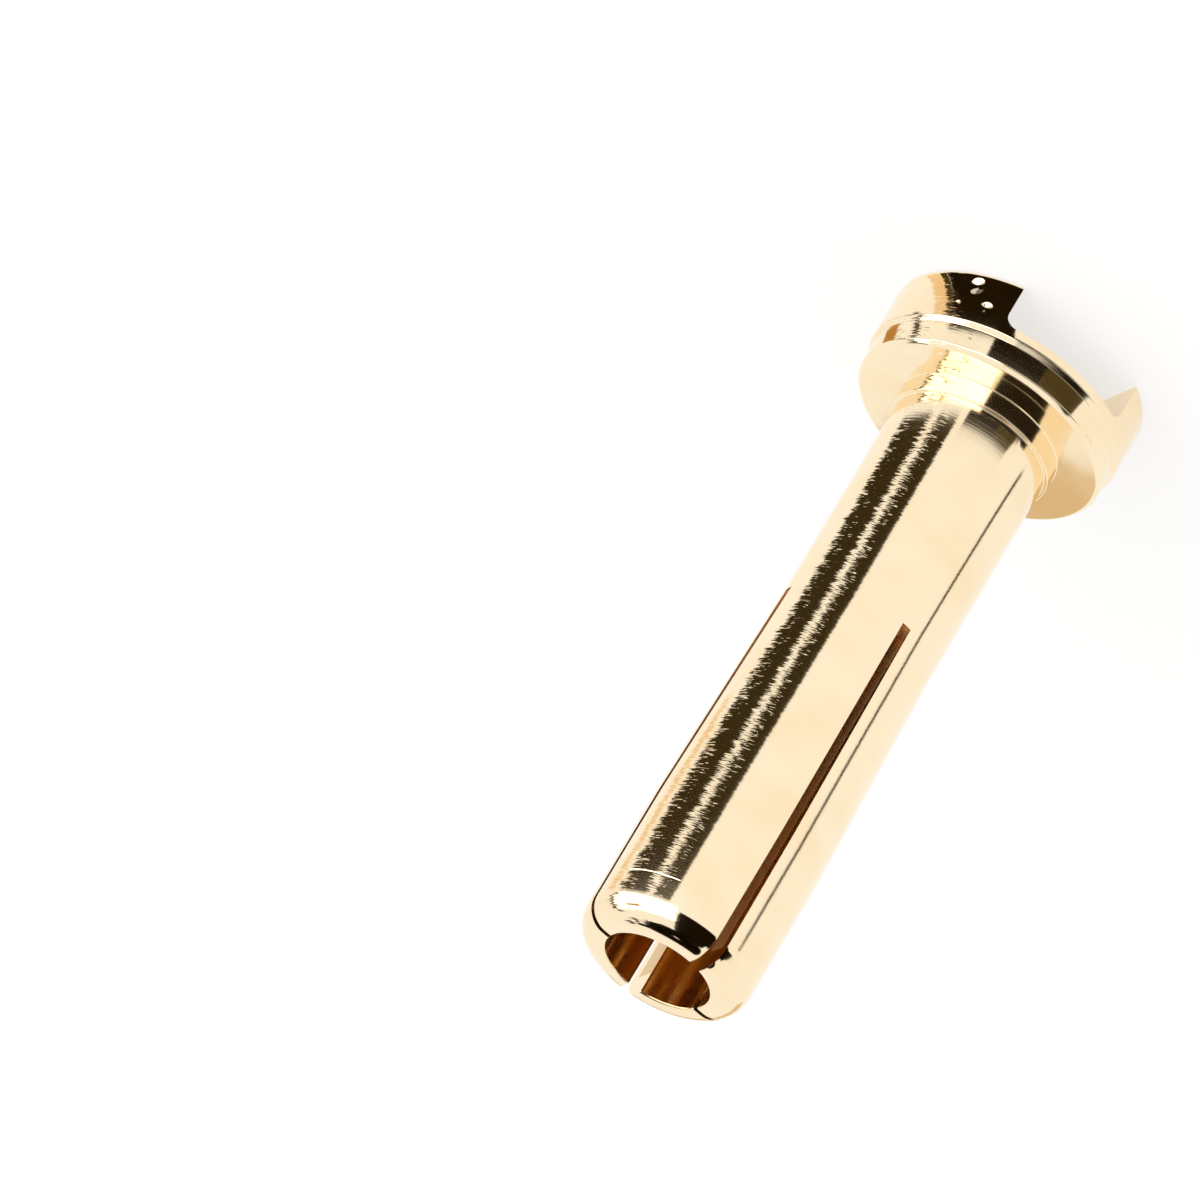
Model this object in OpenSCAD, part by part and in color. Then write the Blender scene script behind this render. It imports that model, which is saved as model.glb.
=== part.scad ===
// Low-profile battery lead connector: a male bullet plug turned from one brass bar.
// It stands on the face of its head, with its axis on Z and its nose up.
// The solder cup opens downwards and the wire leaves it sideways, along +X.

/* [Overall] */
// Length from the face of the head to the end of the nose
overall_l = 18; // [14:0.5:24]

/* [Head] */
// Diameter of the cup wall round the solder cup
head_d = 6.32; // [5.6:0.02:9]
// Height of the cup wall, from the face to the step
cup_wall_h = 1.46; // [1:0.02:4]
// Diameter of the flange band above the cup wall
band_d = 6.14; // [5.4:0.02:9]
// Height of the flange band
band_h = 0.66; // [0.4:0.02:2]
// Height of the bevel that leads from the cup wall in to the band
step_h = 0.1; // [0.04:0.02:0.3]
// Bevel on the band's upper edge
band_bevel = 0.1; // [0.04:0.02:0.3]
// Bevel round the rim of the face
rim_bevel = 0.06; // [0.02:0.02:0.2]

/* [Solder cup] */
// Diameter of the drilled cup
cup_d = 3.22; // [2:0.02:3.4]
// Depth of the cup's straight wall, from the face
cup_depth = 2.18; // [1.4:0.02:3]
// Point angle of the drill that made the cup and the bore
drill_angle = 118; // [90:1:140]

/* [Wire notch] */
// Width of the milled notch, and of its round closed end
notch_w = 3.54; // [3:0.02:4.4]
// Depth of the notch from the face
notch_depth = 1.12; // [0.6:0.02:1.4]
// Corner radius that the end mill leaves along the notch's floor
notch_corner_r = 0.3; // [0.1:0.02:0.5]

/* [Barrel] */
// Diameter of the collar at the root of the barrel
collar_d = 4; // [3.8:0.02:5]
// Height of the collar above the band
collar_h = 0.48; // [0.2:0.02:1]
// Diameter of the solid part of the barrel
barrel_d = 3.82; // [3.4:0.02:4]

/* [Contact leaves] */
// Diameter over the sprung leaves before they enter a socket
contact_d = 4.14; // [4:0.02:4.6]
// Length of the full-size stretch that grips the socket
contact_l = 3.1; // [1:0.1:5]
// Rounding radius of the nose
nose_r = 0.57; // [0.2:0.01:0.7]
// Diameter of the bore inside the leaves
bore_d = 2.58; // [1.6:0.02:2.7]
// Depth of the bore's straight wall, from the nose
bore_depth = 10.4; // [6:0.1:11]
// Number of leaves, and of the slots that part them
leaf_count = 4; // [2, 3, 4, 6]
// Length of each slot, from the nose
slot_l = 9.7; // [5:0.1:10]
// Width of a slot at its root
slot_root_w = 0.27; // [0.15:0.01:0.5]
// Width of a slot at the nose, where the leaves spring apart
slot_tip_w = 0.35; // [0.15:0.01:0.7]
// Turn of the first slot about the axis, from the middle of the wire notch
slot_turn = -5; // [-45:1:45]

/* [Hidden] */
$fn = 96;
// How far each cutter runs past the metal that it cuts
overcut = 0.5;

flange_h = cup_wall_h + band_h;
barrel_z = flange_h + collar_h;
nose_z = overall_l - nose_r;
contact_z = nose_z - contact_l;
slot_z = overall_l - slot_l;

// Half outline of the turned blank: radius along X, height along Y.
module blank_outline() {
    polygon([
        [0, 0],
        [head_d / 2 - rim_bevel, 0],
        [head_d / 2, rim_bevel],
        [head_d / 2, cup_wall_h - step_h],
        [band_d / 2, cup_wall_h],
        [band_d / 2, flange_h - band_bevel],
        [band_d / 2 - band_bevel, flange_h],
        [collar_d / 2, flange_h],
        [collar_d / 2, barrel_z],
        [barrel_d / 2, barrel_z],
        [barrel_d / 2, slot_z],
        [contact_d / 2, contact_z],
        [contact_d / 2, nose_z],
        [contact_d / 2 - nose_r, overall_l],
        [0, overall_l],
    ]);
    translate([contact_d / 2 - nose_r, nose_z]) circle(r = nose_r);
}

// The bar after turning, with nothing drilled or milled yet.
module turned_blank() {
    rotate_extrude() blank_outline();
}

// A drilled hole along +Z from the origin: a straight wall, then the cone of the drill's point.
module drilled_hole(d, depth) {
    translate([0, 0, -overcut]) cylinder(h = depth + overcut, d = d);
    translate([0, 0, depth]) cylinder(h = d / 2 / tan(drill_angle / 2), d1 = d, d2 = 0);
}

// Half outline of the end mill, seen from the side: its floor corner is rounded.
module end_mill_outline() {
    wall_h = notch_depth - notch_corner_r;
    floor_r = notch_w / 2 - notch_corner_r;
    translate([0, -overcut]) square([notch_w / 2, wall_h + overcut]);
    square([floor_r, notch_depth]);
    translate([floor_r, wall_h]) circle(r = notch_corner_r);
}

// The wire notch: the end mill goes down on the axis, then runs out through the rim along +X.
module wire_notch() {
    rotate_extrude() end_mill_outline();
    rotate([90, 0, 90])
        linear_extrude(head_d / 2 + overcut) {
            end_mill_outline();
            mirror([1, 0]) end_mill_outline();
        }
}

// One slot, cut from the axis outwards along +X; it widens evenly up to the nose.
module leaf_slot() {
    rise = slot_l + overcut;
    top_w = slot_root_w + (slot_tip_w - slot_root_w) * rise / slot_l;
    translate([0, 0, slot_z])
        rotate([90, 0, 90])
            linear_extrude(contact_d / 2 + overcut)
                polygon([
                    [-slot_root_w / 2, 0],
                    [slot_root_w / 2, 0],
                    [top_w / 2, rise],
                    [-top_w / 2, rise],
                ]);
}

// The finished connector, one piece of gold-plated brass.
module connector() {
    color("gold")
        difference() {
            turned_blank();
            drilled_hole(cup_d, cup_depth);
            wire_notch();
            translate([0, 0, overall_l]) mirror([0, 0, 1]) drilled_hole(bore_d, bore_depth);
            for (i = [0 : leaf_count - 1])
                rotate(slot_turn + i * 360 / leaf_count) leaf_slot();
        }
}

connector();
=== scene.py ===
"""Battery lead connector: a male bullet plug turned from one brass bar and plated with gold."""

import logging
import math
from dataclasses import dataclass, field
from enum import Enum
from typing import Any, Callable, Union

import bpy
from mathutils import Matrix, Vector


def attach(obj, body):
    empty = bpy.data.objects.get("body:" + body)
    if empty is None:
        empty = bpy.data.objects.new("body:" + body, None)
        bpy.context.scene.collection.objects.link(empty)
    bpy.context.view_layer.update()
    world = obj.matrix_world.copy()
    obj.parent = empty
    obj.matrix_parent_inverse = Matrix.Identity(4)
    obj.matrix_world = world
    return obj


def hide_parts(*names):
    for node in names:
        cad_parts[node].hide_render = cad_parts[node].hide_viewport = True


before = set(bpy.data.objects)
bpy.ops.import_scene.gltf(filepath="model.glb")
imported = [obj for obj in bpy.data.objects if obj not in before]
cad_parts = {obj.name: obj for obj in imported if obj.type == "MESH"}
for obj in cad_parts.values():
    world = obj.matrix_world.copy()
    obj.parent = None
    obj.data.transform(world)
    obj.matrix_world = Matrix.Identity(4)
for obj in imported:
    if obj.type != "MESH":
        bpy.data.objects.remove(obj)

LOG = logging.getLogger("connector")
MM = 0.001

Colour = tuple[float, float, float]
Point = tuple[float, float]
Corner = tuple[float, float, float]
Ramp = tuple[float, float]
Number = Union[float, "Value"]


# ---------------------------------------------------------------- bench tools


class Pick(Enum):
    """What an edit-mode selection is made of."""

    VERT = "VERT"
    EDGE = "EDGE"
    FACE = "FACE"


def clear_bench() -> None:
    """Leave edit mode and deselect every object."""
    if bpy.context.object is not None and bpy.context.object.mode != "OBJECT":
        bpy.ops.object.mode_set(mode="OBJECT")
    bpy.ops.object.select_all(action="DESELECT")


def take_up(piece: bpy.types.Object) -> None:
    """Make one object the only one selected, and the active one.

    Args:
        piece: The object to work on.
    """
    clear_bench()
    piece.select_set(True)
    bpy.context.view_layer.objects.active = piece


def select_where(piece: bpy.types.Object, pick: Pick, test: Callable[[Any], bool]) -> int:
    """Select the vertices, edges or faces that pass a test, and stay in edit mode.

    Args:
        piece: The object whose mesh is selected from.
        pick: Which kind of element is selected.
        test: Takes an element of the mesh and says whether it is selected.

    Returns:
        How many elements were selected.
    """
    take_up(piece)
    bpy.ops.object.mode_set(mode="EDIT")
    bpy.ops.mesh.select_mode(type=pick.value)
    bpy.ops.mesh.select_all(action="DESELECT")
    bpy.ops.object.mode_set(mode="OBJECT")
    mesh = piece.data
    elements = {Pick.VERT: mesh.vertices, Pick.EDGE: mesh.edges, Pick.FACE: mesh.polygons}[pick]
    chosen = [element for element in elements if test(element)]
    for element in chosen:
        element.select = True
    bpy.ops.object.mode_set(mode="EDIT")
    return len(chosen)


def apply_modifier(piece: bpy.types.Object, kind: str, settings: dict[str, Any]) -> None:
    """Add a modifier to a piece and apply it at once.

    Args:
        piece: The object that gets the modifier.
        kind: The modifier's type, such as "BEVEL".
        settings: The modifier's settings by name.
    """
    take_up(piece)
    modifier = piece.modifiers.new(kind.title(), kind)
    for name, value in settings.items():
        setattr(modifier, name, value)
    bpy.ops.object.modifier_apply(modifier=modifier.name)


def face_outwards(piece: bpy.types.Object, gap: float = 1e-7) -> None:
    """Merge a mesh's doubles, then turn all its faces outwards.

    Args:
        piece: The object to mend.
        gap: How close two vertices are merged, in metres.
    """
    take_up(piece)
    bpy.ops.object.mode_set(mode="EDIT")
    bpy.ops.mesh.select_all(action="SELECT")
    bpy.ops.mesh.remove_doubles(threshold=gap)
    bpy.ops.mesh.normals_make_consistent(inside=False)
    bpy.ops.object.mode_set(mode="OBJECT")


def spin_outline(name: str, points: list[Point], steps: int, start: float = 0.0,
                 turn: float = math.tau) -> bpy.types.Object:
    """Draw a half outline point by point and spin it round the Z axis.

    Args:
        name: The new object's name.
        points: The outline as radius and height, in millimetres.
        steps: How many columns the spin makes.
        start: The azimuth where the spin starts, in radians.
        turn: How far it goes round, in radians.

    Returns:
        The spun shell.
    """
    clear_bench()
    bpy.ops.mesh.primitive_plane_add(size=MM, location=(0, 0, 0))
    piece = bpy.context.object
    piece.name = name
    bpy.ops.object.mode_set(mode="EDIT")
    bpy.ops.mesh.select_all(action="SELECT")
    bpy.ops.mesh.merge(type="CENTER")
    across = Vector((math.cos(start), math.sin(start), 0))
    spots = [across * (r * MM) + Vector((0, 0, z * MM)) for r, z in points]
    bpy.ops.transform.translate(value=spots[0])
    for before, after in zip(spots, spots[1:]):
        bpy.ops.mesh.extrude_vertices_move(TRANSFORM_OT_translate={"value": after - before})
    bpy.ops.mesh.select_all(action="SELECT")
    bpy.ops.mesh.spin(steps=steps, angle=turn, center=(0, 0, 0), axis=(0, 0, -1))
    bpy.ops.object.mode_set(mode="OBJECT")
    return piece


@dataclass
class Outline:
    """Half outline of a turned shape: corners as radius, height and edge rounding, in mm.

    Roundings below `small` keep to a share of the shorter side next to the corner.
    """

    corners: list[Corner]
    arc_step: float = 7.5
    small: float = 0.2
    side_share: float = 0.45

    def points(self) -> list[Point]:
        """Round every corner.

        Returns:
            The outline with a short arc at each rounded corner.
        """
        made: list[Point] = []
        last = len(self.corners) - 1
        for i, (r, z, rounding) in enumerate(self.corners):
            if i in (0, last) or rounding <= 0:
                made.append((r, z))
            else:
                made += self._arc(i)
        return made

    def _arc(self, i: int) -> list[Point]:
        """The arc that rounds one corner.

        Args:
            i: The corner's place in the list.

        Returns:
            The arc's points, in the outline's order.
        """
        corner = Vector(self.corners[i][:2])
        back = Vector(self.corners[i - 1][:2]) - corner
        ahead = Vector(self.corners[i + 1][:2]) - corner
        rounding = self.corners[i][2]
        half = back.angle(ahead) / 2
        room = min(back.length, ahead.length) * (self.side_share if rounding < self.small else 1.0)
        reach = min(rounding / math.tan(half), room)
        inwards = (back.normalized() + ahead.normalized()).normalized()
        centre = corner + inwards * (reach / math.cos(half))
        first = corner + back.normalized() * reach - centre
        final = corner + ahead.normalized() * reach - centre
        sweep = first.angle(final)
        steps = max(2, round(math.degrees(sweep) / self.arc_step))
        spots = []
        for k in range(steps + 1):
            share = math.sin((1 - k / steps) * sweep) / math.sin(sweep)
            other = math.sin(k / steps * sweep) / math.sin(sweep)
            spot = centre + first * share + final * other
            spots.append((spot.x, spot.y))
        return spots


# ---------------------------------------------------------------- the connector


@dataclass
class SolderCup:
    """The blind hole in the head that the wire is soldered into, in mm."""

    radius: float = 1.61
    depth: float = 2.18
    drill_angle: float = 118.0

    def corners(self) -> list[Corner]:
        """The hole's half outline, from the point of the drill down to the face.

        Returns:
            The outline's corners.
        """
        point = self.radius / math.tan(math.radians(self.drill_angle / 2))
        return [(0, self.depth + point, 0), (self.radius, self.depth, 0.02), (self.radius, 0, 0.03)]


@dataclass
class Head:
    """The short round head: cup wall, step and flange band, in mm."""

    wall_r: float = 3.16
    wall_h: float = 1.46
    band_r: float = 3.07
    band_h: float = 0.66
    step_h: float = 0.1
    band_bevel: float = 0.1
    rim_bevel: float = 0.06

    @property
    def top(self) -> float:
        """Height of the flange's upper side."""
        return self.wall_h + self.band_h

    def corners(self) -> list[Corner]:
        """The head's half outline, from the rim of the face up to the flange's upper side.

        Returns:
            The outline's corners.
        """
        return [
            (self.wall_r - self.rim_bevel, 0, 0.02),
            (self.wall_r, self.rim_bevel, 0.03),
            (self.wall_r, self.wall_h - self.step_h, 0.03),
            (self.band_r, self.wall_h, 0.02),
            (self.band_r, self.top - self.band_bevel, 0.04),
            (self.band_r - self.band_bevel, self.top, 0.04),
        ]


@dataclass
class WireNotch:
    """The notch that the end mill cuts through the cup wall, in mm."""

    width: float = 3.54
    depth: float = 1.12
    corner_r: float = 0.3
    reach: float = 3.8
    below: float = 0.5

    def cutter(self) -> bpy.types.Object:
        """Model the space that the end mill sweeps.

        Returns:
            The closed cutter.
        """
        clear_bench()
        height = (self.depth + self.below) * MM
        middle = (self.depth - self.below) / 2 * MM
        bpy.ops.mesh.primitive_cylinder_add(
            vertices=96, radius=self.width / 2 * MM, depth=height, location=(0, 0, middle))
        bpy.ops.object.transform_apply(location=True, rotation=True, scale=True)
        cutter = bpy.context.object
        cutter.name = "notch_cutter"
        select_where(cutter, Pick.FACE, lambda f: f.normal.x > 0.01 and abs(f.normal.z) < 0.5)
        bpy.ops.mesh.extrude_region_move(TRANSFORM_OT_translate={"value": (self.reach * MM, 0, 0)})
        bpy.ops.mesh.select_all(action="SELECT")
        bpy.ops.mesh.dissolve_limited(angle_limit=math.radians(1))
        top = self.depth * MM
        vertices = cutter.data.vertices

        def on_top(edge: bpy.types.MeshEdge) -> bool:
            """Whether an edge of the cutter lies in its upper side."""
            return all(vertices[v].co.z > top - 1e-6 for v in edge.vertices)

        select_where(cutter, Pick.EDGE, on_top)
        bpy.ops.mesh.bevel(offset=self.corner_r * MM, segments=6, affect="EDGES", clamp_overlap=False)
        face_outwards(cutter)
        return cutter

    def cut(self, piece: bpy.types.Object) -> None:
        """Cut the notch out of a piece.

        Args:
            piece: The turned and drilled blank.
        """
        cutter = self.cutter()
        apply_modifier(piece, "BOOLEAN", {
            "operation": "DIFFERENCE", "object": cutter, "solver": "EXACT"})
        bpy.data.objects.remove(cutter, do_unlink=True)


@dataclass
class Barrel:
    """The solid root of the barrel, with its collar, in mm."""

    collar_r: float = 2.0
    collar_h: float = 0.48
    radius: float = 1.91

    def corners(self, foot: float, end: float) -> list[Corner]:
        """The barrel's half outline.

        Args:
            foot: Height of the flange's upper side.
            end: Height where the leaves begin.

        Returns:
            The outline's corners.
        """
        top = foot + self.collar_h
        return [
            (self.collar_r, foot, 0.03),
            (self.collar_r, top, 0.03),
            (self.radius, top, 0.03),
            (self.radius, end, 0),
        ]


@dataclass(frozen=True)
class SawCut:
    """One slot of a saw cut that runs beside the axis, in mm."""

    shift: float
    root_w: float
    tip_w: float

    def wall(self, side: int, r: float, rise: float) -> float:
        """Where one of the slot's walls meets a circle round the axis.

        Args:
            side: -1 for the wall before the slot, 1 for the one after it.
            r: The circle's radius.
            rise: How far up the slot, from 0 at the root to 1 at the nose.

        Returns:
            The azimuth from the slot's own direction, in radians.
        """
        width = self.root_w + (self.tip_w - self.root_w) * rise
        return math.asin((self.shift + side * width / 2) / r)


@dataclass
class ContactLeaves:
    """The sprung leaves: a bored, slotted barrel with a round nose, in mm."""

    length: float = 18.0
    contact_r: float = 2.07
    contact_l: float = 3.1
    nose_r: float = 0.57
    bore_r: float = 1.29
    bore_depth: float = 10.4
    drill_angle: float = 118.0
    slot_l: float = 9.7
    cuts: tuple[SawCut, ...] = (
        SawCut(-0.21, 0.25, 0.32),
        SawCut(0.18, 0.25, 0.14),
        SawCut(0.21, 0.25, 0.32),
        SawCut(-0.18, 0.25, 0.14),
    )
    leaf_columns: int = 24
    slot_columns: int = 3
    barrel_walls: tuple[float, float] = (1.8, 2.05)
    collar_foot: float = 2.1
    head_end: float = 7.0
    axis_r: float = 0.1

    @property
    def slot_z(self) -> float:
        """Height of the slots' roots."""
        return self.length - self.slot_l

    @property
    def columns(self) -> int:
        """How many columns the whole turn has."""
        return len(self.cuts) * (self.leaf_columns + self.slot_columns)

    @property
    def column_angle(self) -> float:
        """Angle from one column to the next, in radians."""
        return math.tau / self.columns

    @property
    def first_column(self) -> float:
        """Azimuth of the column after the first slot, in radians."""
        return self.slot_columns / 2 * self.column_angle

    def corners(self) -> list[Corner]:
        """The leaves' half outline, over the nose and down the bore to the drill's point.

        Returns:
            The outline's corners.
        """
        nose_z = self.length - self.nose_r
        bore_z = self.length - self.bore_depth
        point = self.bore_r / math.tan(math.radians(self.drill_angle / 2))
        return [
            (self.contact_r, nose_z - self.contact_l, 0),
            (self.contact_r, nose_z - 0.1, 0),
            (self.contact_r, self.length, self.nose_r),
            (self.bore_r, self.length, 0.05),
            (self.bore_r, self.slot_z, 0),
            (self.bore_r, bore_z, 0),
            (0, bore_z - point, 0),
        ]

    def column_of(self, x: float, y: float) -> float:
        """Which column a point lies on, counted from the one after the first slot.

        Args:
            x: The point's X.
            y: The point's Y.

        Returns:
            The column, as a fraction if the point lies between two.
        """
        return (math.atan2(y, x) - self.first_column) / self.column_angle % self.columns

    def open_slots(self, piece: bpy.types.Object) -> None:
        """Take out the slots' strips, set the columns beside them in place and fill their walls.

        Args:
            piece: The spun blank.
        """
        root = self.slot_z * MM
        turn = self.leaf_columns + self.slot_columns

        def in_slot(face: bpy.types.MeshPolygon) -> bool:
            """Whether a face of the spun wall lies in a slot."""
            return face.center.z > root and self.column_of(*face.center.xy) % turn > self.leaf_columns

        select_where(piece, Pick.FACE, in_slot)
        bpy.ops.mesh.delete(type="FACE")
        bpy.ops.object.mode_set(mode="OBJECT")
        sides = self._spread_columns(piece)
        for group in sides:
            wanted = set(group)
            select_where(piece, Pick.VERT, lambda v: v.index in wanted)
            bpy.ops.mesh.edge_face_add()
        face_outwards(piece)

    def _spread_columns(self, piece: bpy.types.Object) -> list[list[int]]:
        """Turn each column of the leaves until those beside a slot lie in its flat walls.

        Args:
            piece: The spun blank, with its slots' strips taken out.

        Returns:
            For each slot, the vertices of its two walls and of its floor.
        """
        turn = self.leaf_columns + self.slot_columns
        quarter = math.tau / len(self.cuts)
        walls: dict[tuple[int, str], list[int]] = {}
        for vertex in piece.data.vertices:
            r = math.hypot(vertex.co.x, vertex.co.y) / MM
            z = vertex.co.z / MM
            if not self._follows_slots(r, z):
                continue
            leaf, step = divmod(round(self.column_of(*vertex.co.xy)) % self.columns, turn)
            after = (leaf + 1) % len(self.cuts)
            rise = max(0.0, (z - self.slot_z) / self.slot_l)
            first = leaf * quarter + self.cuts[leaf].wall(1, r, rise)
            last = (leaf + 1) * quarter + self.cuts[after].wall(-1, r, rise)
            beyond = (leaf + 1) * quarter + self.cuts[after].wall(1, r, rise)
            if step <= self.leaf_columns:
                azimuth = first + (last - first) * step / self.leaf_columns
            else:
                azimuth = last + (beyond - last) * (step - self.leaf_columns) / self.slot_columns
            vertex.co.x = r * MM * math.cos(azimuth)
            vertex.co.y = r * MM * math.sin(azimuth)
            if z < self.slot_z - 1e-4:
                continue
            if step == 0:
                walls.setdefault((leaf, "after"), []).append(vertex.index)
            if step == self.leaf_columns:
                walls.setdefault((after, "before"), []).append(vertex.index)
            if z < self.slot_z + 1e-4 and (step == 0 or step >= self.leaf_columns):
                walls.setdefault((leaf if step == 0 else after, "floor"), []).append(vertex.index)
        order = ["after", "before", "floor"]
        return [walls[key] for key in sorted(walls, key=lambda k: (order.index(k[1]), k[0]))]

    def _follows_slots(self, r: float, z: float) -> bool:
        """Whether a ring of the blank is spread between the slots.

        Args:
            r: The ring's radius.
            z: Its height.

        Returns:
            True for the leaves, and for the barrel and the bore below them.
        """
        least, most = self.barrel_walls
        barrel = least < r < most and z > self.collar_foot
        return r > self.axis_r and (barrel or z > self.head_end)


@dataclass
class Connector:
    """The whole plug, one piece of plated brass."""

    head: Head = field(default_factory=Head)
    cup: SolderCup = field(default_factory=SolderCup)
    notch: WireNotch = field(default_factory=WireNotch)
    barrel: Barrel = field(default_factory=Barrel)
    leaves: ContactLeaves = field(default_factory=ContactLeaves)
    edge_width: float = 0.012
    edge_angle: float = 40.0
    smooth_angle: float = 50.0

    def build(self, plating: bpy.types.Material) -> bpy.types.Object:
        """Turn, drill, mill and slot the plug, then break its edges and plate it.

        Args:
            plating: The finish.

        Returns:
            The finished piece, riding on the part's one body.
        """
        corners = self.cup.corners() + self.head.corners()
        corners += self.barrel.corners(self.head.top, self.leaves.slot_z)
        corners += self.leaves.corners()
        piece = spin_outline("bullet_plug", Outline(corners).points(), self.leaves.columns,
                             self.leaves.first_column)
        face_outwards(piece)
        self.leaves.open_slots(piece)
        self.notch.cut(piece)
        apply_modifier(piece, "BEVEL", {
            "width": self.edge_width * MM, "segments": 2, "limit_method": "ANGLE",
            "angle_limit": math.radians(self.edge_angle), "use_clamp_overlap": True})
        take_up(piece)
        bpy.ops.object.shade_smooth_by_angle(angle=math.radians(self.smooth_angle))
        apply_modifier(piece, "WEIGHTED_NORMAL", {"keep_sharp": True})
        piece.data.materials.clear()
        piece.data.materials.append(plating)
        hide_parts("connector")
        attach(piece, "root")
        return piece


# ---------------------------------------------------------------- finishes


class Value:
    """One number socket of a node tree, so that sums and products read as Python."""

    def __init__(self, bench: "Bench", socket: bpy.types.NodeSocket) -> None:
        """Wrap a socket.

        Args:
            bench: The bench that owns the node.
            socket: The output socket.
        """
        self.bench = bench
        self.socket = socket

    def math(self, operation: str, *others: Number) -> "Value":
        """Add one Math node whose first input is this value.

        Args:
            operation: The Math node's operation.
            others: Its other inputs, in order.

        Returns:
            The node's result.
        """
        return self.bench.maths(operation, self, *others)

    def __add__(self, other: Number) -> "Value":
        """Sum."""
        return self.math("ADD", other)

    def __sub__(self, other: Number) -> "Value":
        """Difference."""
        return self.math("SUBTRACT", other)

    def __mul__(self, other: Number) -> "Value":
        """Product."""
        return self.math("MULTIPLY", other)

    def __truediv__(self, other: Number) -> "Value":
        """Quotient."""
        return self.math("DIVIDE", other)

    __radd__ = __add__
    __rmul__ = __mul__

    def __rsub__(self, other: Number) -> "Value":
        """Difference, with this value taken away."""
        return self.bench.maths("SUBTRACT", other, self)

    def __rtruediv__(self, other: Number) -> "Value":
        """Quotient, with this value below."""
        return self.bench.maths("DIVIDE", other, self)

    def step(self, low: float, high: float) -> "Value":
        """Rise smoothly from 0 at low to 1 at high, or fall if low is above high.

        Args:
            low: Where the result is 0.
            high: Where the result is 1.

        Returns:
            The smoothed step.
        """
        turned = low > high
        edges = {"From Min": min(low, high), "From Max": max(low, high),
                 "To Min": 1.0 if turned else 0.0, "To Max": 0.0 if turned else 1.0}
        made = self.bench.node("ShaderNodeMapRange", {"interpolation_type": "SMOOTHSTEP"},
                               {"Value": self, **edges})
        return Value(self.bench, made.outputs["Result"])


class Bench:
    """A material's node tree while it is wired up."""

    def __init__(self, material: bpy.types.Material) -> None:
        """Empty a material's tree.

        Args:
            material: The new material.
        """
        material.use_nodes = True
        self.tree = material.node_tree
        self.tree.nodes.clear()

    def node(self, kind: str, settings: dict[str, Any] | None = None,
             inputs: dict[Any, Any] | None = None) -> bpy.types.Node:
        """Add one node.

        Args:
            kind: The node's type.
            settings: Its settings, which are set first.
            inputs: The values or links of its sockets, by name or place.

        Returns:
            The new node.
        """
        made = self.tree.nodes.new(kind)
        for name, value in (settings or {}).items():
            setattr(made, name, value)
        for key, value in (inputs or {}).items():
            source = value.socket if isinstance(value, Value) else value
            if isinstance(source, bpy.types.NodeSocket):
                self.tree.links.new(source, made.inputs[key])
            else:
                made.inputs[key].default_value = source
        return made

    def maths(self, operation: str, *values: Number) -> Value:
        """Add one Math node.

        Args:
            operation: The node's operation.
            values: Its inputs, in order.

        Returns:
            Its result.
        """
        made = self.node("ShaderNodeMath", {"operation": operation}, dict(enumerate(values)))
        return Value(self, made.outputs[0])

    def vectors(self, operation: str, inputs: dict[Any, Any]) -> bpy.types.NodeSocket:
        """Add one Vector Math node.

        Args:
            operation: The node's operation.
            inputs: Its inputs by place or name.

        Returns:
            Its vector result.
        """
        return self.node("ShaderNodeVectorMath", {"operation": operation}, inputs).outputs[0]

    def blend(self, factor: Number, first: Any, second: Any) -> bpy.types.NodeSocket:
        """Mix two colours.

        Args:
            factor: 0 for the first colour, 1 for the second.
            first: A colour or a link.
            second: A colour or a link.

        Returns:
            The mixed colour.
        """
        made = self.node("ShaderNodeMix", {"data_type": "RGBA"},
                         {0: factor, 6: self._rgba(first), 7: self._rgba(second)})
        return made.outputs[2]

    @staticmethod
    def _rgba(colour: Any) -> Any:
        """Give a plain colour its alpha, and leave a link alone."""
        return (*colour, 1.0) if isinstance(colour, tuple) else colour

    def noise(self, vector: bpy.types.NodeSocket, detail: float = 2.0) -> Value:
        """Noise at a scale of one per unit of its vector.

        Args:
            vector: Where to read the noise.
            detail: How many finer layers it has.

        Returns:
            A value of about 0.5 on average.
        """
        made = self.node("ShaderNodeTexNoise", {"noise_dimensions": "3D"},
                         {"Vector": vector, "Scale": 1.0, "Detail": detail, "Roughness": 0.5})
        return Value(self, made.outputs[0])


@dataclass(frozen=True)
class Spot:
    """One small mark in the plating: its azimuth in degrees, height, radius and size in mm."""

    azimuth: float
    height: float
    radius: float
    size: float

    def place(self) -> tuple[float, float, float]:
        """The mark's middle, in millimetres."""
        angle = math.radians(self.azimuth)
        return (self.radius * math.cos(angle), self.radius * math.sin(angle), self.height)


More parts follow.
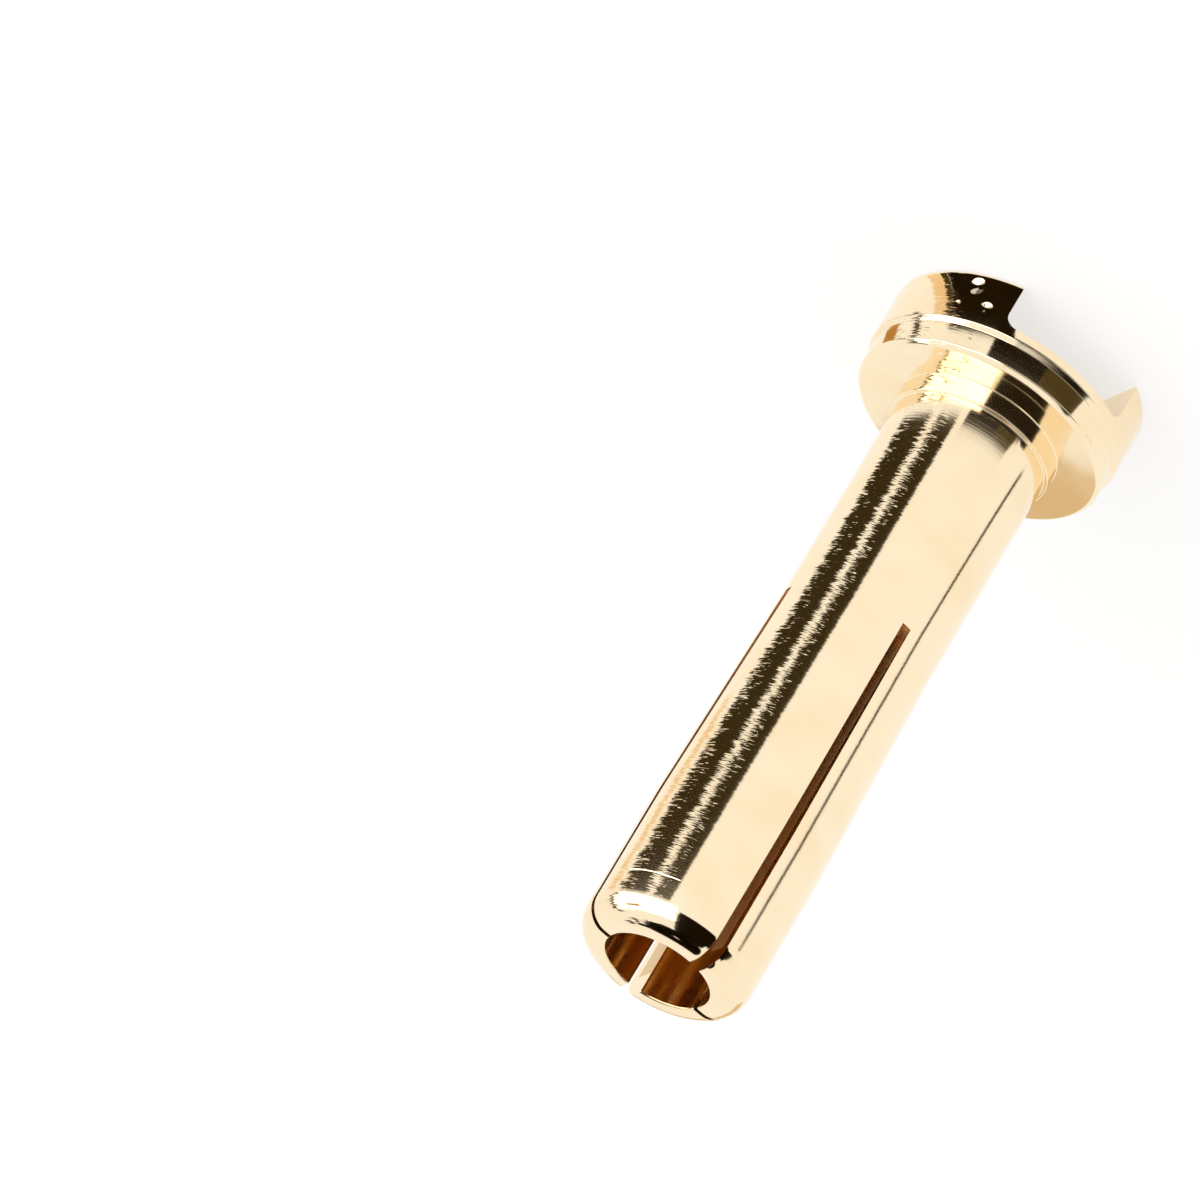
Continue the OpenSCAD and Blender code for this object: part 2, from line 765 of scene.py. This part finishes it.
@dataclass(frozen=True)
class GoldPlate:
    """Bright gold plating over turned brass."""

    plate: Colour = (0.985, 0.83, 0.58)
    # Darker orange: painted shade in the bore, slots and solder cup, and also blended in at random as
    # tone.
    deep_tone_and_recess_shade: Colour = (0.88, 0.47, 0.07)
    strike: Colour = (0.62, 0.58, 0.52)
    roughness: float = 0.10
    hair_scale: Colour = (1.3, 1.3, 32.0)
    scratch_scale: Colour = (4.0, 4.0, 40.0)
    shade_scale: Colour = (0.6, 0.6, 0.9)
    turning_scale: Colour = (0.2, 0.2, 22.0)
    cone_foot: Ramp = (2.14, 2.20)
    cone_tip: Ramp = (3.4, 3.3)
    slot_foot: Ramp = (8.2, 8.3)
    worn_azimuth: float = 62.0
    ring_height: float = 16.81
    dent_slope: float = 0.4
    dents: tuple[Spot, ...] = (
        Spot(53, 0.40, 3.16, 0.30),
        Spot(44, 0.90, 3.16, 0.19),
        Spot(57, 0.94, 3.16, 0.08),
    )

    def make(self) -> bpy.types.Material:
        """Mix the finish.

        Returns:
            The material.
        """
        material = bpy.data.materials.new("gold_plate")
        bench = Bench(material)
        coordinates = bench.node("ShaderNodeTexCoord").outputs["Object"]
        spot = bench.vectors("SCALE", {0: coordinates, "Scale": 1 / MM})
        parts = bench.node("ShaderNodeSeparateXYZ", None, {0: spot})
        x, y, z = (Value(bench, parts.outputs[i]) for i in range(3))
        r = (x * x + y * y).math("SQRT")
        # inside: mask of the hollows that get painted shade; it also raises their roughness and lowers
        # the slot walls' metallic.
        inside = self._recess_shade(r, z)
        cone = z.step(*self.cone_foot) * r.step(1.66, 1.60) * z.step(*self.cone_tip)
        around = bench.vectors("MULTIPLY", {0: spot, 1: self.hair_scale})
        hair = bench.noise(around, 2.0)
        shade = bench.noise(bench.vectors("MULTIPLY", {0: spot, 1: self.shade_scale}), 1.0)
        walls = inside * r.step(1.30, 1.36) * z.step(*self.slot_foot)
        # Painted shade: the hollows take the darker orange colour.
        colour = bench.blend(inside, self.plate, self.deep_tone_and_recess_shade)
        colour = bench.blend(cone, colour, self.strike)
        colour = bench.blend(shade.step(0.35, 0.75) * 0.12, colour, self.deep_tone_and_recess_shade)
        worn = self._worn_side(x, y, r)
        scratch = bench.noise(bench.vectors("MULTIPLY", {0: spot, 1: self.scratch_scale}), 1.0)
        tilt = (hair - 0.5) * (worn * 0.26 + 0.02) + scratch.step(0.58, 0.72) * worn * 0.2
        normal = self._tilted(bench, x, y, r, tilt)
        height = self._relief(bench, spot, r, z, worn)
        bump = bench.node("ShaderNodeBump", None, {
            "Strength": 1.0, "Distance": MM, "Height": height, "Normal": normal})
        rough = self.roughness + inside * 0.15 + cone * 0.12 + (hair - 0.5) * 0.06
        shader = bench.node("ShaderNodeBsdfPrincipled", None, {
            "Base Color": colour, "Metallic": 1.0 - walls * 0.7,
            "Roughness": rough, "Normal": bump.outputs[0]})
        bench.node("ShaderNodeOutputMaterial", None, {"Surface": shader.outputs[0]})
        return material

    def _recess_shade(self, r: Value, z: Value) -> Value:
        """How strongly the bore, the slots' walls and the solder cup take the darker orange colour that
        is painted shade in these hollows.

        Args:
            r: Distance from the axis, in mm.
            z: Height, in mm.

        Returns:
            0 on the outside, and up to 0.9 inside.
        """
        slots = r.step(1.87, 1.80) * z.step(*self.slot_foot) * z.step(17.5, 17.4)
        bore = r.step(1.33, 1.29) * z.step(7.55, 7.75)
        cup = r.step(1.68, 1.62) * z.step(4.0, 3.6) * z.step(0.02, 0.1)
        return slots * 0.5 + bore * 0.4 + cup * 0.3

    def _worn_side(self, x: Value, y: Value, r: Value) -> Value:
        """Mask of the side of the barrel with the coarser drawn marks.

        Args:
            x: X, in mm.
            y: Y, in mm.
            r: Distance from the axis, in mm.

        Returns:
            1 on that side, 0 opposite it.
        """
        angle = math.radians(self.worn_azimuth)
        facing = (x * math.cos(angle) + y * math.sin(angle)) / r.math("MAXIMUM", 0.01)
        return facing.step(0.88, 0.97)

    @staticmethod
    def _tilted(bench: Bench, x: Value, y: Value, r: Value, tilt: Value) -> bpy.types.NodeSocket:
        """The surface normal, tilted round the axis.

        Args:
            bench: The bench in use.
            x: X, in mm.
            y: Y, in mm.
            r: Distance from the axis, in mm.
            tilt: How far to lean.

        Returns:
            The tilted normal.
        """
        safe = r.math("MAXIMUM", 0.01)
        across = {0: 0 - y / safe, 1: x / safe}
        sideways = bench.node("ShaderNodeCombineXYZ", None, across).outputs[0]
        turned = bench.node("ShaderNodeVectorTransform", {
            "vector_type": "VECTOR", "convert_from": "OBJECT", "convert_to": "WORLD"},
            {0: sideways}).outputs[0]
        lean = bench.vectors("SCALE", {0: turned, "Scale": tilt})
        plain = bench.node("ShaderNodeNewGeometry").outputs["Normal"]
        return bench.vectors("NORMALIZE", {0: bench.vectors("ADD", {0: plain, 1: lean})})

    def _relief(self, bench: Bench, spot: bpy.types.NodeSocket, r: Value, z: Value,
                worn: Value) -> Value:
        """Height of the turning marks, the ring near the nose and the small dents, in mm.

        Args:
            bench: The bench in use.
            spot: The place, in mm.
            r: Distance from the axis, in mm.
            z: Height, in mm.
            worn: Mask of the side with the coarser marks.

        Returns:
            The height.
        """
        turning = bench.noise(bench.vectors("MULTIPLY", {0: spot, 1: self.turning_scale}), 1.0)
        ring = (z - self.ring_height).math("ABSOLUTE").step(0.03, 0.0) * r.step(1.95, 2.0) * worn
        cone = z.step(*self.cone_foot) * z.step(*self.cone_tip)
        rings = (r * 55.0).math("SINE") * cone * r.step(1.6, 1.5)
        height = turning * 0.0004 - ring * 0.006 + rings * 0.002
        for dent in self.dents:
            away = bench.node("ShaderNodeVectorMath", {"operation": "DISTANCE"},
                              {0: spot, 1: dent.place()}).outputs["Value"]
            height = height - Value(bench, away).step(dent.size, 0.0) * (dent.size * self.dent_slope)
        return height


@dataclass(frozen=True)
class PlainCard:
    """A matt card or floor: its colour, and how much of it is seen whatever the light does."""

    name: str
    colour: Colour
    glow: float = 0.0
    clear_below: bool = False

    def make(self) -> bpy.types.Material:
        """Mix the finish.

        Returns:
            The material.
        """
        material = bpy.data.materials.new(self.name)
        bench = Bench(material)
        matt = bench.node("ShaderNodeBsdfDiffuse", None, {"Color": (*self.colour, 1.0)})
        path = bench.node("ShaderNodeLightPath")
        seen = Value(bench, path.outputs["Is Camera Ray"]) + Value(bench, path.outputs["Is Glossy Ray"])
        seen = (seen + Value(bench, path.outputs["Is Transmission Ray"])).math("MINIMUM", 1.0)
        glow = bench.node("ShaderNodeEmission", None, {"Strength": seen * self.glow})
        both = bench.node("ShaderNodeAddShader", None, {0: matt.outputs[0], 1: glow.outputs[0]})
        final = both
        if self.clear_below:
            clear = bench.node("ShaderNodeBsdfTransparent")
            backs = bench.node("ShaderNodeNewGeometry").outputs["Backfacing"]
            final = bench.node("ShaderNodeMixShader", None,
                               {0: backs, 1: both.outputs[0], 2: clear.outputs[0]})
        bench.node("ShaderNodeOutputMaterial", None, {"Surface": final.outputs[0]})
        return material


# ---------------------------------------------------------------- the studio


class Tone(Enum):
    """Colours of the cards round the plug."""

    DARK = (0.012, 0.007, 0.002)
    UMBER = (0.035, 0.024, 0.008)
    OLIVE = (0.06, 0.04, 0.01)
    AMBER = (0.45, 0.22, 0.05)
    TAN = (0.80, 0.62, 0.40)
    GLARE = (0.95, 0.95, 0.95)

    @property
    def glow(self) -> float:
        """How strongly a card of this colour shines by itself."""
        return 2.0 if self is Tone.GLARE else 0.0


@dataclass(frozen=True)
class Flag:
    """A card that only the metal sees: azimuths in degrees, then its outline, turned round Z, in mm."""

    start: float
    end: float
    outline: tuple[Point, ...]
    tone: Tone = Tone.DARK


@dataclass
class Studio:
    """Floor, flags, lamps and surroundings."""

    floor_size: float = 3.0
    floor_drop: float = 0.00002
    card_steps: int = 24
    card_lift: float = 0.02
    card_gap: float = 0.01
    lamp_azimuth: float = 72.0
    lamp_rise: float = 0.364
    lamp_distance: float = 0.25
    lamp_width: float = 0.36
    lamp_height: float = 0.17
    lamp_energy: float = 0.3
    flags: tuple[Flag, ...] = (
        Flag(83, 121, ((7.1, 0), (38, 0)), Tone.UMBER),
        Flag(50, 73, ((7.1, 0), (38, 0)), Tone.UMBER),
        Flag(-58.5, -54.5, ((7, 0), (36, 0)), Tone.OLIVE),
        Flag(30, 72, ((3.2, 0), (5.9, 0))),
        Flag(72, 76, ((3.2, 0), (5.4, 0)), Tone.OLIVE),
        Flag(76, 84, ((3.2, 0), (5.4, 0)), Tone.TAN),
        Flag(3, 41, ((5.3, 0), (7.3, 0))),
        Flag(-28, 3, ((5.3, 0), (7.3, 0)), Tone.OLIVE),
        Flag(94, 99, ((4.8, 0), (6.2, 0)), Tone.OLIVE),
        Flag(113, 126, ((4.6, 0), (6.2, 0)), Tone.AMBER),
        Flag(-49, 31, ((70, 8), (70, 80))),
        Flag(-26, 31, ((8, 15.9), (8, 27), (5, 32))),
        Flag(-180, 180, ((7.5, 32), (0.5, 32))),
        Flag(84, 104, ((70, 34), (70, 46)), Tone.AMBER),
        Flag(195, 240, ((30, 14), (30, 21)), Tone.TAN),
        Flag(131, 142, ((22, 0), (36, 0)), Tone.TAN),
        Flag(37, 117, ((43, 0), (160, 0), (160, 130)), Tone.GLARE),
        Flag(118, 124, ((43, 0), (150, 0), (150, 150)), Tone.OLIVE),
        Flag(113, 165, ((6.0, 25.8), (5.6, 27.2)), Tone.OLIVE),
    )

    def build(self) -> None:
        """Set the whole studio."""
        self._lay_floor()
        for number, flag in enumerate(self.flags):
            self._stand_flag(number, flag)
        self._hang_lamp()
        self._light_room()

    def _lay_floor(self) -> None:
        """Lay the plain pale floor."""
        clear_bench()
        bpy.ops.mesh.primitive_plane_add(size=self.floor_size, location=(0, 0, -self.floor_drop))
        bpy.ops.object.transform_apply(location=True, rotation=True, scale=True)
        floor = bpy.context.object
        floor.name = "studio_floor"
        floor.data.materials.append(PlainCard("pale_floor", (0.30, 0.295, 0.288), 0.69, True).make())

    def _stand_flag(self, number: int, flag: Flag) -> None:
        """Set one card, a hair above the one before it so that no two share a plane.

        Args:
            number: Its place in the list.
            flag: Its size and place.
        """
        lift = self.card_lift + self.card_gap * number
        points = [(r, z + lift) for r, z in flag.outline]
        card = spin_outline(f"flag_{number}", points, self.card_steps, math.radians(flag.start),
                            math.radians(flag.end - flag.start))
        finish = PlainCard("card_" + flag.tone.name.lower(), flag.tone.value, flag.tone.glow)
        card.data.materials.append(finish.make())
        card.visible_camera = False
        card.visible_shadow = False
        card.visible_diffuse = False

    def _hang_lamp(self) -> None:
        """Hang the one large soft lamp."""
        lamp = bpy.data.objects.new("soft_lamp", bpy.data.lights.new("soft_lamp", "AREA"))
        bpy.context.scene.collection.objects.link(lamp)
        lamp.data.shape = "RECTANGLE"
        lamp.data.size = self.lamp_width
        lamp.data.size_y = self.lamp_height
        lamp.data.energy = self.lamp_energy
        angle = math.radians(self.lamp_azimuth)
        towards = Vector((math.cos(angle), math.sin(angle), self.lamp_rise)).normalized()
        lamp.location = towards * self.lamp_distance
        lamp.rotation_euler = towards.to_track_quat("Z", "Y").to_euler()

    @staticmethod
    def _light_room() -> None:
        """Light the room evenly from all sides."""
        world = bpy.data.worlds.new("white_room")
        world.use_nodes = True
        world.node_tree.nodes["Background"].inputs["Color"].default_value = (1, 1, 1, 1)
        world.node_tree.nodes["Background"].inputs["Strength"].default_value = 1.0
        bpy.context.scene.world = world
        bpy.context.scene.view_settings.view_transform = "Standard"


@dataclass
class Camera:
    """The camera: what it is aimed at, from where, and its lens. Lengths in mm, angles in degrees."""

    aim: tuple[float, float, float] = (-2.45, 4.78, 10.43)
    distance: float = 243.6
    azimuth: float = 18.92
    elevation: float = 28.18
    roll: float = 148.57
    lens: float = 327.1

    def place(self) -> bpy.types.Object:
        """Set the camera up.

        Returns:
            The camera.
        """
        data = bpy.data.cameras.new("camera")
        data.lens = self.lens
        data.sensor_width = 36.0
        data.clip_start = 0.01
        data.clip_end = 10.0
        camera = bpy.data.objects.new("camera", data)
        bpy.context.scene.collection.objects.link(camera)
        a, e = math.radians(self.azimuth), math.radians(self.elevation)
        back = Vector((math.cos(e) * math.cos(a), math.cos(e) * math.sin(a), math.sin(e)))
        turn = back.to_track_quat("Z", "Y").to_matrix().to_4x4()
        roll = Matrix.Rotation(math.radians(-self.roll), 4, "Z")
        spot = Vector(self.aim) * MM + back * (self.distance * MM)
        camera.matrix_world = Matrix.Translation(spot) @ turn @ roll
        bpy.context.scene.camera = camera
        return camera


# ---------------------------------------------------------------- the scene


def main() -> None:
    """Build the scene: the studio, the camera and the connector."""
    logging.basicConfig(level=logging.INFO, format="%(name)s: %(message)s")
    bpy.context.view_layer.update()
    Camera().place()
    Studio().build()
    plug = Connector().build(GoldPlate().make())
    LOG.info("%s: %d faces", plug.name, len(plug.data.polygons))
    clear_bench()


if __name__ == "__main__":
    main()
